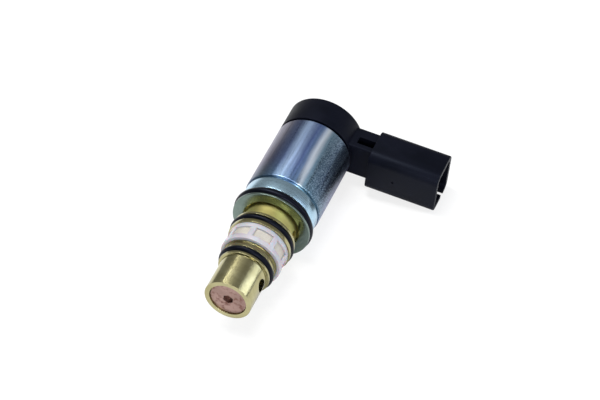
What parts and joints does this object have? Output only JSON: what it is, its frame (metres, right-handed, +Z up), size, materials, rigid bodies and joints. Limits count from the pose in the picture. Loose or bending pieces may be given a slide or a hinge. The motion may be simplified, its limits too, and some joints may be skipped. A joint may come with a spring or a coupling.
{
  "type": "compressor control valve",
  "caption": "Solenoid control valve for a variable-displacement compressor: ported turned body with rubber rings and a filter, a steel coil can and a side connector.",
  "frame": {"origin": "on the valve's axis at the nose's end face", "axes": "+Y along the valve's axis from the nose to the cap, +X towards the connector, +Z up as the valve lies on the flange ring and the connector's edge"},
  "size_m": [0.056, 0.0817, 0.0264],
  "materials": {
    "brass": "turned, satin",
    "copper_washed_brass": "matt copper wash",
    "bellows_bronze": "bare thin wall",
    "stainless_steel": "ground",
    "soft_iron": "turned, dull plated",
    "spring_steel": "bright wire",
    "zinc_plated_steel": "zinc plated, satin",
    "passivated_steel": "zinc plated with a blue passivation",
    "black_rubber": "smooth moulded",
    "black_plastic": "glass-filled, fine spark texture",
    "bobbin_plastic": "glass-filled, plain",
    "white_plastic": "translucent white",
    "steel_mesh": "fine woven screen",
    "enamelled_copper": "enamelled winding",
    "tinned_brass": "tinned"
  },
  "bodies": {
    "valve": {"valve_body": "brass", "adjuster_plug": "copper_washed_brass", "bellows": "bellows_bronze", "guide_bush": "stainless_steel", "return_spring": "spring_steel", "antistick_shim": "stainless_steel", "fixed_core": "soft_iron", "guide_tube": "stainless_steel", "tube_seal": "black_rubber", "pole_flange": "zinc_plated_steel", "bobbin": "bobbin_plastic", "coil_winding": "enamelled_copper", "flux_plate": "zinc_plated_steel", "solenoid_can": "passivated_steel", "connector_housing": "black_plastic", "terminal_left": "tinned_brass", "terminal_right": "tinned_brass", "flange_o_ring": "black_rubber", "upper_o_ring": "black_rubber", "lower_o_ring": "black_rubber", "filter_frame": "white_plastic", "filter_mesh": "steel_mesh"},
    "plunger": {"armature": "soft_iron", "push_rod": "stainless_steel"}
  },
  "joints": [
    {"name": "plunger_slide", "type": "slide", "parent": "valve", "child": "plunger", "axis": [0, -1, 0], "range_m": [0, 0.00075], "stiffness_N_per_m": 2000, "springref_m": -0.002, "deforming": ["return_spring", "bellows"]}
  ]
}
